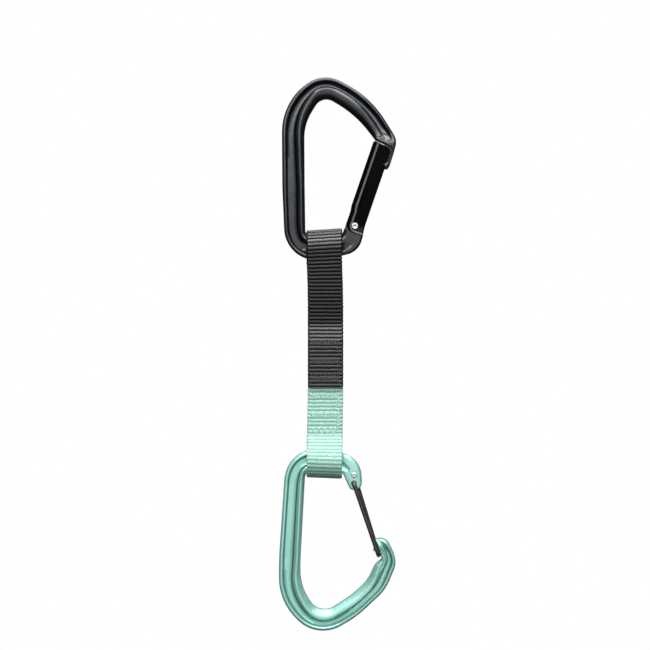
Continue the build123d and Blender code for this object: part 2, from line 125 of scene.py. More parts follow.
RIVET_HEAD_RADIUS = 1.75
RIVET_HEAD_TOP = 4.8
CAM_START = 4.2
CAM_RISE = 2.2  # for each radian of opening
CAM_BEFORE = 25.0  # the cam goes on this far past the plunger's travel
CAM_BEYOND = 20.0
CAM_STEPS = 10
CAM_ROOT = [(10.2, -64.6, 0), (9.0, -69.0, 0), (15.0, -73.0, 0), (19.0, -68.5, 0)]
SWING_ROOM = 0.3  # beside the gate's cheeks as they swing
SWING_FOOT_ROOM = 0.15
SWING_TOP = 9.0
SWING_STEPS = 8
NECK_THICKNESS = 2.2
BULB_RADIUS = 1.9
BULB_ALONG = 35.4
BULB_EDGE = 0.3
NOSE_REACH = -2.4
NOSE_SPARE = 1.5  # the lock goes on into the frame by this much
NECK_RISE = 1.6
NECK_STEP = 0.6  # above the gate, only this side of the neck is there
NECK_STEP_DROP = 1.0
KNOB_RADIUS = 1.6  # the lock's knob beside the gate
KNOB_ACROSS = 5.0
KNOB_HALF = 3.2
KNOB_ENDS = [(0.7, 0.0), (0.2, 0.3), (0.0, 0.8)]  # how far in and along, round each end
KEYHOLE_CLEARANCE = 0.35
BORE_RADIUS = 1.45
BORE_TOP = 25.0
BORE_OVERLAP = 1.0  # the bore starts this deep in the fork

# ---- rope-end gate and tang ----
WIRE_RADIUS = 1.15
UPPER_HOLE = (14.35, -195.7)
LOWER_HOLE = (14.25, -199.9)
WIRE_CROWN = (27.2, -237.6)
WIRE_HOLE_BEND = 1.6
WIRE_CROWN_BEND = 2.3
WIRE_STEP = 1.0  # distance between its sections
WIRE_CHAMFER = (0.12, 0.14)  # along the wire and off its radius
LEG_SPREAD = 4.15
CROWN_SPREAD = 2.5
LOWER_HOLE_ROOM = 0.3
TANG_HALF = 2.5
TANG_SKIN = 0.08  # the bar in the tang stays this far under its faces
WIRE_END = 2.72  # where each cut end of the wire stands, from the middle plane
ROPE_END_TANG = [
    (7.0, -184.76, 0), (17.5, -188.4, 11), (18.5, -203.4, 3.2),
    (12.4, -203.4, 2.2), (9.0, -195.8, 0),
]
WIRE_HEAD_RADIUS = 1.45  # the swaged end of each leg
WIRE_HEAD_TOP = 2.8
SCOOP_MIDDLE = (7.9, -190.5)  # the hollow where the channel ends in each face
SCOOP_LEAN = -38.0
SCOOP_HALVES = (5.2, 2.1, 1.3)
SCOOP_TIP = 0.02  # its first ring's turn from its pole, in radians
SCOOP_RINGS = 25
SCOOP_SIDES = 36
HOOD_GROOVE = [(27.9, -231.1, 0), (29.1, -234.9, 8), (30.3, -240.6, 5), (26.9, -246.6, 0)]
HOOD_GROOVE_RADIUS = 0.75
HOOD_GROOVE_DEPTH = 0.6
HOOD_GROOVE_FADE = 4.0  # length over which it gets shallow at each end
# strength of the painted shade in the groove's walls
HOOD_GROOVE_SHADE = 0.8
ROPE_END_SPUR = [
    (29.5, -229.2, 0), (26.0, -229.0, 0.5), (25.2, -229.7, 0.6),
    (24.2, -235.4, 0.6), (26.7, -236.0, 0.6), (30.5, -235.5, 0),
]

# ---- sling ----
WEBBING_WIDTH = 18.0
WEBBING_X = -0.9
THICKNESS = 1.9  # of the webbing
BOLT_BAR_Z = -76.9
ROPE_BAR_Z = -188.4
BOLT_LOOP_RADIUS = 7.5
ROPE_LOOP_RADIUS = 7.05
FLEX_Z = -122.6
BLACK_END_Z = -149.7
BLACK_BENDS = ((-2.6, 3), (5.2, 8))  # above the fold, and their radii
BLACK_NECK = 5.0  # height of the loop's neck above the fold
TEAL_TOP_Z = -125.2
TEAL_NECK_Z = -175.5
TEAL_BEND = (0.6, 4)  # above the neck, and its radius
SLACK = 0.02  # between pieces that press on each other
PLY_GAP = 0.01  # between the teal webbing and the middle plane
PLIES_GAP = 0.03  # and as far as the black webbing, both gaps together
LOOP_STEPS = 80
RIB_PITCH = 1.95
RIB_HEIGHT = 0.3
RIB_SAMPLES = 7  # sections along one rib
RIB_LIFTS = (0.8, 1.1)  # share of the height that a rib may have
RIB_FULLNESS = 0.75  # less is squarer
RIB_WOBBLE = 0.07  # how far a rib wanders at each yarn, in ribs
RIB_DRIFT = 0.02  # and in long waves across and along the strap
RIB_WAVES = (0.9, 0.11)
YARN_PITCH = 1.3  # bumps along a rib
YARN_BUMP = 0.16
FACE_POINTS = 62  # across each face, and round each selvedge
SELVEDGE_POINTS = 10
TOP_LEAN = (0.065, -100, 28)  # slope to the right, where it starts and over what length
BOTTOM_LEAN = (-0.04, -178, -14)
# Heights, and how far to the right the straps lie there.
DRIFT = ((-198, -175, -150, -108, -96, -84, -67), (-0.3, 0.0, 0.4, 0.4, 0.2, -0.25, -0.25))
BLACK_SEED = 3
TEAL_SEED = 5
THREAD_RADIUS = 0.2
TACK_HALF_WIDTH = 7.8
TACK_X = -0.6  # the middle of the bar tacks
TACK_UNDER = 0.05  # the thread's middle at a stitch, below the webbing's face
TACK_OVER = 0.16  # and above it between two stitches
TACK_BENDS = (0.12, 2.0)  # the thread's bends at those two
TACK_PITCH = 1.5
OPEN_TACK_PITCH = 3.0  # the lowest teal tack is sewn wider open
RUN_X = 6.0  # the running stitches between the tacks
RUN_PITCH = 1.7
RUN_LEAN = 0.45
RUN_STITCH = 0.8  # share of the pitch that a stitch takes
RUN_START = 0.1
RUN_UNDER = 0.2
RUN_OVER = 0.18
RUN_BEND = 0.5
BLACK_FACE = 2 * THICKNESS + PLIES_GAP  # from the middle to the webbing's face
TEAL_FACE = THICKNESS + PLY_GAP
KEEPER_WIDTH = 16.0
KEEPER_ENDS = (0.3, 0.9)  # each end tapers over this length to this share
KEEPER_FROM = 58.0  # where the keeper's seat starts, round the bar
KEEPER_STEPS = 8
KEEPER_TOP_Z = -177.7
KEEPER_TOP_HALF = 0.8
BLACK_TACKS = {"upper": (-125.1, -128.6), "middle": (-133.7, -138.4), "lower": (-143.1, -147.8)}
TEAL_TACKS = {"upper": (-152.8, -156.0), "middle": (-162.3, -165.5), "lower": (-170.8, -174.7)}

# Edges sharper than these angles are kept crisp.
SHARP = 35
STRAP_SHARP = 60
THREAD_SHARP = 80

# ---- stage ----
FLOOR_Z = -450.0
FLOOR_RADIUS = 620.0
FLOOR_SIDES = 96
FLOOR_SHADE = 0.85
FLOOR_GLOW = 0.45
ROOM_SHADES = [(0.0, 0.02), (0.5, 0.07), (0.75, 0.3), (1.0, 0.5)]  # from below to above
SIDE_SHADES = [(0.4, 1.0), (0.9, 0.05)]  # times these, from the middle to either side
LIGHT_TARGET = (0, 0, -0.12)  # the lights and the camera are placed in metres
CAMERA_PLACE = (-0.00078, -0.9425, -0.1175)
CAMERA_LENS = 100

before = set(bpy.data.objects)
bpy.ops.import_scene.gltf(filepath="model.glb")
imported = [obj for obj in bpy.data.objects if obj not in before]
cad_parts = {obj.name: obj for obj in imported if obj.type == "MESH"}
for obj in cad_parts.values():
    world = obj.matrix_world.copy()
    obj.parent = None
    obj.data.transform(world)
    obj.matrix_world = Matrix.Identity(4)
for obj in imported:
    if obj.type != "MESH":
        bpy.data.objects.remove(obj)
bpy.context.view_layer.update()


# ---- geometry helpers ----


def unit(v):
    return v / np.linalg.norm(v)


def smooth(t):
    return t * t * (3 - 2 * t)


def rounded_path(corners, closed=False, arc_step=0.25, arc_count=None):
    """Points along straight runs joined by tangent arcs, and where each corner's middle is.
    A corner is its point followed by its radius."""
    points = []
    middles = []
    total = len(corners)
    for i, corner in enumerate(corners):
        at = np.array(corner[:-1], float)
        radius = corner[-1]
        if radius == 0 or (not closed and i in (0, total - 1)):
            middles.append(len(points))
            points.append(at)
            continue
        back = unit(np.array(corners[i - 1][:-1]) - at)
        ahead = unit(np.array(corners[(i + 1) % total][:-1]) - at)
        half = math.acos(np.clip(back @ ahead, -1, 1)) / 2
        centre = at + unit(back + ahead) * radius / math.sin(half)
        start = at + back * radius / math.tan(half) - centre
        sweep = math.pi - 2 * half
        count = arc_count or 2 * max(2, round(sweep * radius / arc_step / 2))
        middles.append(len(points) + count // 2)
        for k in range(count + 1):
            angle = sweep * k / count
            points.append(centre + start * math.cos(angle) - back * radius * math.sin(angle))
    return np.array(points), middles


def path_lengths(points):
    steps = np.linalg.norm(np.diff(points, axis=0), axis=1)
    return np.concatenate([[0], np.cumsum(steps)])


def at_lengths(points, lengths, wanted):
    return np.stack([np.interp(wanted, lengths, column) for column in points.T], axis=-1)


def placed(name, mesh, shape):
    """An object in the scene whose mesh takes up a finished shape."""
    shape.to_mesh(mesh)
    shape.free()
    obj = bpy.data.objects.new(name, mesh)
    bpy.context.scene.collection.objects.link(obj)
    return obj


def new_object(name, vertices, faces, weld=True, marks=None):
    """A mesh object from vertices in millimetres, with its normals facing out.
    Marks name an attribute and give its value at each vertex."""
    mesh = bpy.data.meshes.new(name)
    mesh.from_pydata((np.asarray(vertices, float) * MM).tolist(), [], faces)
    mesh.validate()
    if marks:
        attribute = mesh.attributes.new(marks[0], "FLOAT", "POINT")
        attribute.data.foreach_set("value", np.array(marks[1], np.float32).ravel())
    shape = bmesh.new()
    shape.from_mesh(mesh)
    if weld:
        bmesh.ops.remove_doubles(shape, verts=shape.verts, dist=WELD_DISTANCE)
    bmesh.ops.recalc_face_normals(shape, faces=shape.faces)
    return placed(name, mesh, shape)


def loft(name, rings, weld=True, marks=None):
    """A skin over rings of equal numbers of points, with a cap at each end."""
    rings = np.asarray(rings, float)
    count, around = rings.shape[:2]
    faces = []
    for i in range(count - 1):
        here = i * around
        there = here + around
        for k in range(around):
            follower = (k + 1) % around
            faces.append((here + k, here + follower, there + follower, there + k))
    faces.append(tuple(range(around)))
    faces.append(tuple(range((count - 1) * around, count * around)))
    return new_object(name, rings.reshape(-1, 3), faces, weld, marks)


def finish_normals(obj, angle):
    """Smooth shading, with edges sharper than this angle kept crisp."""
    obj.data.shade_smooth()
    obj.data.set_sharp_from_angle(angle=math.radians(angle))


def combine(obj, other, operation):
    """Joins the other solid to obj or cuts it away, and removes the other."""
    modifier = obj.modifiers.new(operation, "BOOLEAN")
    modifier.operation = operation
    modifier.solver = "EXACT"
    modifier.object = other
    depsgraph = bpy.context.evaluated_depsgraph_get()
    mesh = bpy.data.meshes.new_from_object(obj.evaluated_get(depsgraph))
    obj.modifiers.remove(modifier)
    obj.data = mesh
    bpy.data.objects.remove(other)


def add(obj, other):
    combine(obj, other, "UNION")


def cut(obj, other):
    combine(obj, other, "DIFFERENCE")


def moved_in(corners, amounts):
    """A polygon with each side moved inwards by its own amount, and its corner radii less."""
    at = np.array([c[:2] for c in corners], float)
    ahead = np.roll(at, -1, axis=0)
    area = np.sum(at[:, 0] * ahead[:, 1] - ahead[:, 0] * at[:, 1])
    result = []
    for i in range(len(at)):
        lines = []
        for k in (i - 1, i):
            along = unit(ahead[k] - at[k])
            inward = np.array((-along[1], along[0])) * math.copysign(1, area)
            lines.append((at[k] + inward * amounts[k], along))
        (p, u), (q, v) = lines
        share = np.linalg.solve(np.array([u, -v]).T, q - p)[0]
        x, z = p + u * share
        radius = max(corners[i][2] - (amounts[i - 1] + amounts[i]) / 2, 0.02)
        result.append((x, z, radius))
    return result


def layered(name, corners, layers, arc_count):
    """A plate in the XZ plane with equal faces. A layer is each side's inset, and its y."""
    upper = []
    for insets, y in layers:
        points, _ = rounded_path(moved_in(corners, insets), closed=True, arc_count=arc_count)
        upper.append([(x, y, z) for x, z in points])
    lower = [[(x, -y, z) for x, y, z in ring] for ring in upper]
    return loft(name, lower[::-1] + upper)


def slab(name, corners, thickness, edge=0.0):
    """A plate whose front and back edges are rounded."""
    layers = []
    for angle in np.arange(SLAB_STEPS + 1) * math.pi / 2 / SLAB_STEPS:
        inset = edge * (1 - math.cos(angle))
        layers.append(([inset] * len(corners), thickness / 2 - edge + edge * math.sin(angle)))
    return layered(name, corners, layers, 8)


def circle(one, other, sides):
    """Points round a unit circle in the plane of two directions."""
    angles = np.arange(sides) * 2 * math.pi / sides
    return np.outer(np.cos(angles), one) + np.outer(np.sin(angles), other)


def turned(name, profile, centre, axis, sides=40):
    """A solid of revolution. The profile is (radius, distance along the axis from centre)."""
    axis = unit(np.array(axis, float))
    aside = unit(np.cross(axis, (0.0, 0.0, 1.0) if abs(axis[2]) < 0.9 else (0.0, 1.0, 0.0)))
    other = np.cross(axis, aside)
    rings = []
    for radius, distance in profile:
        middle = np.array(centre) + axis * distance
        rings.append(middle + circle(aside, other, sides) * max(radius, 1e-3))
    return loft(name, rings)


def turned_across(name, profile, centre, sides=40, facing=1):
    """A turned solid along Y, about a point (x, z)."""
    return turned(name, profile, (centre[0], 0, centre[1]), (0, facing, 0), sides)


def tube(name, path, radii, sides, painted_shade=None):
    """A round tube along a path, with a radius at each point or one for all of them, and painted
    shade over it if one is given.
    """
    path = np.asarray(path, float)
    tangents = np.gradient(path, axis=0)
    tangents /= np.linalg.norm(tangents, axis=1)[:, None]
    normal = unit(np.cross(tangents[0], (1.0, 0.13, 0.07)))
    rings = []
    for point, tangent, radius in zip(path, tangents, np.broadcast_to(radii, len(path))):
        normal = unit(normal - tangent * (normal @ tangent))
        rings.append(point + circle(normal, np.cross(tangent, normal), sides) * radius)
    marks = ("painted_shade", np.full((len(path), sides), painted_shade)) if painted_shade else None
    return loft(name, rings, marks=marks)


def joined(parts):
    """One object out of several."""
    first = parts[0]
    shape = bmesh.new()
    for part in parts:
        shape.from_mesh(part.data)
    shape.to_mesh(first.data)
    shape.free()
    for part in parts[1:]:
        bpy.data.objects.remove(part)
    return first


def gate_point(across, along, opened=0.0):
    """A point in the gate's own directions, with the gate opened by some degrees."""
    lean = math.radians(GATE_LEAN - opened)
    return (
        GATE_PIVOT[0] + across * math.cos(lean) + along * math.sin(lean),
        GATE_PIVOT[1] - across * math.sin(lean) + along * math.cos(lean),
    )


def gate_corners(corners, opened=0.0):
    """Corners in the gate's own directions, each with its radius if it has one."""
    return [gate_point(c[0], c[1], opened) + (c[2] if len(c) > 2 else 0.0,) for c in corners]


# ---- forged frames ----


def beam_section(width, walls, channel, eye_round, half):
    """Half of an I-beam section: (distance from the outer edge, height from mid-depth, painted
    shade in the channel's walls).
    """
    rim, floor_start, floor_end, band = np.array(walls) * width
    edge = min(RIM_ROUND, RIM_SHARE * width)
    rim = max(rim, edge)
    eye = min(eye_round, width - band - 0.05)
    drop = min(BAND_DROP, max(eye_round, 0.5))
    shoulder = BAND_SHOULDER * channel
    depth = WEB_DEPTH * channel
    t = np.linspace(0, 1, SECTION_STEPS)
    turn = t * math.pi / 2
    clear = np.zeros(len(t))
    # painted shade, strongest in the middle of each wall of the channel
    wall_shade = channel * np.sin(math.pi * t) ** 2
    points = [(0, 0, 0), (0, (half - edge) / 2, 0)]
    points += list(zip(edge * (1 - np.cos(turn)), half - edge + edge * np.sin(turn), clear))
    slope = half - depth * smooth(t)
    points += list(zip(rim + (floor_start - rim) * t, slope, OUTER_WALL_SHADE * wall_shade))
    points += [((floor_start + floor_end) / 2, half - depth, 0)]
    rise = half - depth + (depth - shoulder) * smooth(t)
    points += list(zip(floor_end + (band - floor_end) * t, rise, wall_shade))
    crest = width - eye
    swell = half - shoulder * (1 - np.sin(turn))
    points += list(zip(band + (crest - band) * t, swell, clear))[1:-1]
    points += list(zip(crest + eye * np.sin(turn), half - drop * (1 - np.cos(turn)), clear))
    points += [(width, (half - drop) / 2, 0), (width, 0, 0)]
    return np.array(points)


def matched_stations(rows):
    """Pairs of points down the outer and inner edge, and where each lies among the rows."""
    sides = []
    for side in (0, 1):
        points, middles = rounded_path([row[side] for row in rows])
        lengths = path_lengths(points)
        sides.append((points, lengths, lengths[middles]))
    places = []
    for i in range(len(rows) - 1):
        longest = max(marks[i + 1] - marks[i] for _, _, marks in sides)
        count = max(2, round(longest / STATION_STEP))
        places += [i + k / count for k in range(count)]
    places = np.array(places + [len(rows) - 1.0])
    rows_at = np.arange(len(rows))
    edges = [
        at_lengths(points, lengths, np.interp(places, rows_at, marks))
        for points, lengths, marks in sides
    ]
    return edges[0], edges[1], places


def blur_weights(reach):
    """Weights of the neighbours up to this far on either side, which add up to one."""
    window = np.hanning(2 * reach + 3)[1:-1]
    return window / window.sum()


def softened(values):
    """Values along a bar with their corners eased."""
    padded = np.pad(values, SOFTEN_REACH, mode="edge")
    return np.convolve(padded, blur_weights(SOFTEN_REACH), mode="valid")


def eased(rings, shares):
    """Rings whose points run more smoothly along the bar, each by its share."""
    before = 2 * rings[0] - rings[EASE_REACH:0:-1]
    after = 2 * rings[-1] - rings[-2:-EASE_REACH - 2:-1]
    padded = np.concatenate([before, rings, after])
    weights = blur_weights(EASE_REACH)
    smoothed = sum(w * padded[i:i + len(rings)] for i, w in enumerate(weights))
    return rings + (smoothed - rings) * shares[None, :, None]


def forged_bar(name, rows, least_half=0.0):
    """A swept I-beam. Rows may ask for more or less channel and depth than there can be:
    the bar then changes only where the values between the rows are within their limits."""
    outer, inner, places = matched_stations(rows)
    table = np.array([list(row[2]) + list(row[3:]) for row in rows], float)
    rows_at = np.arange(len(rows))
    columns = [softened(np.interp(places, rows_at, column)) for column in table.T]
    walls = np.stack(columns[:4], axis=-1)
    channel = np.clip(columns[4], 0, 1)
    eye_round = columns[5]
    half_depth = np.clip(columns[6], least_half, HALF_DEPTH)
    rings = []
    painted_shades = []
    for near, far, *values in zip(outer, inner, walls, channel, eye_round, half_depth):
        width = np.linalg.norm(far - near)
        across = (far - near) / width
        section = beam_section(width, *values)
        places_across = [near + across * distance for distance, _, _ in section]
        front = [(x, -y, z) for (x, z), (_, y, _) in zip(places_across, section)]
        rings.append(front + [(x, -y, z) for x, y, z in front[-2:0:-1]])
        painted_shades.append(np.concatenate([section[:, 2], section[-2:0:-1, 2]]))
    number = np.arange(len(section))
    depth_in = np.minimum(number - EASE_FIRST, len(section) - EASE_LAST - number)
    shares = np.clip(depth_in / EASE_FADE, 0, 1)
    rings = eased(np.array(rings), np.concatenate([shares, shares[-2:0:-1]]))
    # the painted shade goes with the mesh as an attribute
    return loft(name, rings, marks=("painted_shade", painted_shades))


def cam_corners():
    """The tang's outline: its edge rises evenly under the plunger as the gate opens."""
    first = GATE_LEAN + CAM_BEFORE
    last = GATE_LEAN - GATE_OPENING - CAM_BEYOND
    corners = []
    for i in range(CAM_STEPS + 1):
        tilt = first + (last - first) * i / CAM_STEPS
        radius = CAM_START + CAM_RISE * math.radians(max(0.0, GATE_LEAN - tilt))
        angle = math.radians(tilt)
        x = GATE_PIVOT[0] + radius * math.sin(angle)
        z = GATE_PIVOT[1] + radius * math.cos(angle)
        corners.append((x, z, 0))
    return corners + CAM_ROOT


def gate_room():
    """The space that the gate's cheeks pass through as it opens."""
    low = -GATE_FOOT - SWING_FOOT_ROOM
    left = GATE_LEFT - SWING_ROOM
    right = GATE_RIGHT + GATE_FLARE + SWING_ROOM
    top = SWING_TOP
    foot = [(left, low, 4.6), (right, low, 1.2), (right, top, 0.02), (left, top, 0.02)]
    points = []
    for i in range(SWING_STEPS + 1):
        opened = GATE_OPENING * i / SWING_STEPS
        outline, _ = rounded_path(gate_corners(foot, opened), closed=True, arc_count=12)
        for x, z in outline:
            points += [(x, -THROUGH, z), (x, THROUGH, z)]
    room = bmesh.new()
    for point in points:
        room.verts.new(np.array(point) * MM)
    hull = bmesh.ops.convex_hull(room, input=room.verts)
    spare = set(hull["geom_interior"] + hull["geom_unused"])
    bmesh.ops.delete(room, geom=list(spare), context="VERTS")
    return placed("gate_room", bpy.data.meshes.new("gate_room"), room)


def turned_in_gate(name, profile, start, end):
    """A turned solid from one point to another in the gate's own directions."""
    x, z = gate_point(*start)
    far = gate_point(*end)
    return turned(name, profile, (x, 0, z), (far[0] - x, 0, far[1] - z))


def nose_lock(grow):
    """The nose's neck and bulb, or with room added, the slot for them in the gate."""
    right = GATE_RIGHT + NOSE_SPARE
    left = NOSE_REACH - grow
    top = GATE_TOP + NECK_RISE
    step = GATE_TOP - NECK_STEP_DROP
    neck_corners = gate_corners([
        (left, BULB_ALONG),
        (right, BULB_ALONG),
        (right, top),
        (NECK_STEP - grow, top),
        (NECK_STEP - grow, step + grow),
        (left, step + grow),
    ])
    neck = slab("neck", neck_corners, NECK_THICKNESS + 2 * grow, edge=0.15)
    radius = BULB_RADIUS + grow
    length = right - left
    flat = radius - BULB_EDGE
    profile = [(0, 0), (flat, 0), (radius, BULB_EDGE)]
    profile += [(radius, length - BULB_EDGE), (flat, length), (0, length)]
    bulb = turned_in_gate("bulb", profile, (left, BULB_ALONG), (right, BULB_ALONG))
    add(neck, bulb)
    return neck


def knob(grow):
    """The round end of the nose, or with room added, the notch for it in the gate's side."""
    radius = KNOB_RADIUS + grow
    half = KNOB_HALF + 4 * grow
    profile = [(0, -half)] + [(radius - inset, along - half) for inset, along in KNOB_ENDS]
    profile += [(r, -y) for r, y in profile[::-1]]
    return turned_across("knob", profile, gate_point(KNOB_ACROSS, BULB_ALONG))


def drill(obj, centre, radius):
    """Cuts a round hole through obj from front to back."""
    profile = [(0, -THROUGH), (radius, -THROUGH), (radius, THROUGH), (0, THROUGH)]
    cut(obj, turned_across("hole", profile, centre, 48))


def bolt_end_frame():
    """The black frame, with its tang, the nose's lock and the rivet's hole."""
    bar = forged_bar("bolt_end_forging", BOLT_END_ROWS)
    cut(bar, gate_room())
    add(bar, slab("cam", cam_corners(), TANG_THICKNESS, edge=0.2))
    add(bar, nose_lock(0.0))
    add(bar, knob(0.0))
    drill(bar, GATE_PIVOT, RIVET_RADIUS)
    return bar


def scoop():
    """The hollow where the channel ends, with the one in the other face beside it; one of its
    walls carries painted shade.
    """
    along, across, deep = SCOOP_HALVES
    lean = math.radians(SCOOP_LEAN)
    parts = []
    for side in (-1, 1):
        rings = []
        painted_shades = []
        for turn in np.linspace(SCOOP_TIP, math.pi - SCOOP_TIP, SCOOP_RINGS):
            ring = []
            for angle in np.arange(SCOOP_SIDES) * 2 * math.pi / SCOOP_SIDES:
                u = -along * math.cos(turn)
                v = across * math.sin(turn) * math.cos(angle)
                x = SCOOP_MIDDLE[0] + u * math.cos(lean) - v * math.sin(lean)
                z = SCOOP_MIDDLE[1] + u * math.sin(lean) + v * math.cos(lean)
                ring.append((x, side * TANG_HALF + deep * math.sin(turn) * math.sin(angle), z))
                # painted shade on the half of each ring on one side across the hollow
                painted_shades.append(max(0.0, math.cos(angle)))
            rings.append(ring)
        parts.append(loft("scoop", rings, marks=("painted_shade", painted_shades)))
    return joined(parts)


def hood_grooves():
    """A round groove beside the hood's nest, in each face, whose walls carry painted shade."""
    path, _ = rounded_path(HOOD_GROOVE)
    lengths = path_lengths(path)
    depths = np.clip(np.minimum(lengths, lengths[-1] - lengths) / HOOD_GROOVE_FADE, 0, 1)
    parts = []
    for side in (-1, 1):
        y = side * (HALF_DEPTH + HOOD_GROOVE_RADIUS - HOOD_GROOVE_DEPTH)
        points = []
        for (x, z), depth in zip(path, depths):
            points.append((x, y + side * HOOD_GROOVE_DEPTH * (1 - depth), z))
        parts.append(tube("groove", points, HOOD_GROOVE_RADIUS, 24, HOOD_GROOVE_SHADE))
    return joined(parts)


def rope_end_frame():
    """The teal frame, with its tang, its hooded nose and the wire's two holes."""
    bar = forged_bar("rope_end_forging", ROPE_END_ROWS, TANG_HALF - TANG_SKIN)
    add(bar, slab("tang", ROPE_END_TANG, 2 * TANG_HALF, edge=0.8))
    cut(bar, scoop())
    cut(bar, hood_grooves())
    add(bar, slab("spur", ROPE_END_SPUR, thickness=2.0, edge=0.3))
    drill(bar, UPPER_HOLE, WIRE_RADIUS + HOLE_ROOM)
    drill(bar, LOWER_HOLE, WIRE_RADIUS + LOWER_HOLE_ROOM)
    return bar


# ---- bolt-end gate ----


def bolt_end_gate(face_finish, bevel_highlight_finish):
    """A bar with a big round down its left side and foot, then a bevel and a flat face. The bevel
    strips take a second, lighter finish: a painted highlight.
    """
    corners = gate_corners([
        (GATE_LEFT + GATE_WAIST, -GATE_FOOT, 4.4),
        (GATE_RIGHT + GATE_FLARE, -GATE_FOOT, 0.5),
        (GATE_RIGHT, GATE_FLARE_TOP, 4.0),
        (GATE_RIGHT, GATE_TOP - GATE_TOP_DROP, 2.4),
        (GATE_LEFT, GATE_TOP, 1.0),
        (GATE_LEFT, GATE_WAIST_TOP, 6.0),
        (GATE_LEFT + GATE_WAIST, GATE_WAIST_TOP - 2.4, 6.0),
    ])
    insets = np.array([GATE_FOOT_INSET] + [GATE_SIDE_INSET] * 3 + [GATE_INSET] * 3)
    bevels = np.array([GATE_FOOT_BEVEL] + [0.0] * 3 + [GATE_BEVEL] * 3)
    layers = []
    for k in range(GATE_STEPS + 1):
        angle = math.pi / 2 * k / GATE_STEPS
        y = GATE_HALF_DEPTH - GATE_ROUND * (1 - math.sin(angle))
        layers.append((insets * (1 - math.cos(angle)), y))
    layers.append((insets + bevels, GATE_HALF_DEPTH - GATE_FACE_DROP))
    gate = layered("bolt_end_gate_bar", corners, layers, GATE_ARC)
    gate.data.materials.append(face_finish)
    gate.data.materials.append(bevel_highlight_finish)
    around = len(corners) * (GATE_ARC + 1)
    faces = list(gate.data.polygons)
    # the bevel strips on both faces take the painted highlight finish
    for face in faces[:around] + faces[-around - 2:-2]:
        face.material_index = 1
    side, top = FORK_HALF, FORK_DEPTH
    fork = gate_corners([(-side, -side), (side, -side), (side, top), (-side, top)])
    cut(gate, slab("fork", fork, FORK_WIDTH))
    cut(gate, nose_lock(KEYHOLE_CLEARANCE))
    cut(gate, knob(KEYHOLE_CLEARANCE))
    drill(gate, GATE_PIVOT, RIVET_RADIUS + HOLE_ROOM)
    length = BORE_TOP - FORK_DEPTH + BORE_OVERLAP
    profile = [(0, 0), (BORE_RADIUS, 0), (BORE_RADIUS, length), (0, length)]
    bore = turned_in_gate("bore", profile, (0, FORK_DEPTH - BORE_OVERLAP), (0, BORE_TOP))
    cut(gate, bore)
    return gate


def rivet():
    """A pin with a domed and dimpled head at each end."""
    rim = RIVET_HEAD_RADIUS
    top = RIVET_HEAD_TOP
    head = [(RIVET_RADIUS - 0.02, 3.7), (rim, 3.98)]
    head += [(rim, top - 0.42), (rim - 0.12, top - 0.16), (rim - 0.4, top - 0.02), (1.0, top)]
    head += [(0.75, top - 0.12), (0.5, top - 0.34), (0.25, top - 0.42), (0.0, top - 0.44)]
    profile = [(r, -y) for r, y in head[::-1]] + head
    return turned_across("bolt_end_rivet", profile, GATE_PIVOT, 48)


# ---- rope-end wire gate ----


def wire_leg(name, hole, side):
    """Half of the bent wire: its cut end in the tang, one leg and half of the crown."""
    corners = [
        (hole[0], -side * WIRE_END, hole[1], 0),
        (hole[0], side * LEG_SPREAD, hole[1], WIRE_HOLE_BEND),
        (WIRE_CROWN[0], side * CROWN_SPREAD, WIRE_CROWN[1], WIRE_CROWN_BEND),
        (WIRE_CROWN[0], 0.0, WIRE_CROWN[1], 0),
    ]
    corner_path, _ = rounded_path(corners, arc_step=0.2)
    lengths = path_lengths(corner_path)
    chamfer_length, chamfer_depth = WIRE_CHAMFER
    even = np.arange(0, lengths[-1], WIRE_STEP)
    runs = np.unique(np.round(np.concatenate([lengths, even, [chamfer_length]]), 3))
    path = at_lengths(corner_path, lengths, runs)
    radii = np.full(len(path), WIRE_RADIUS)
    radii[0] = WIRE_RADIUS - chamfer_depth
    return tube(name, path, radii, 28)


def wire_head(name, hole, side):
    """The bright swaged end that keeps a leg in its hole."""
    top = WIRE_HEAD_TOP
    rim = WIRE_HEAD_RADIUS
    profile = [(WIRE_RADIUS - 0.1, TANG_HALF + 0.03), (rim, TANG_HALF + 0.05)]
    profile += [(rim, top - 0.12), (rim - 0.15, top - 0.04), (rim - 0.6, top)]
    profile += [(0.4, top - 0.04), (0.0, top - 0.16)]
    return turned_across(name, profile, hole, 36, -side)


# ---- sling ----


def loop_side_view(bar_z, radius, neck):
    """The side view (y, z) of a strap round a bar, between its tangents from the neck."""
    y, z = neck
    side = math.copysign(1, z - bar_z)
    to_neck = math.atan2(z - bar_z, y)
    start = (to_neck + side * math.acos(radius / math.hypot(y, z - bar_z))) % (2 * math.pi)
    finish = math.pi - start + (2 * math.pi if side > 0 else 0)
    angles = np.linspace(start, finish, LOOP_STEPS)
    return np.stack([radius * np.cos(angles), bar_z + radius * np.sin(angles)], axis=-1)


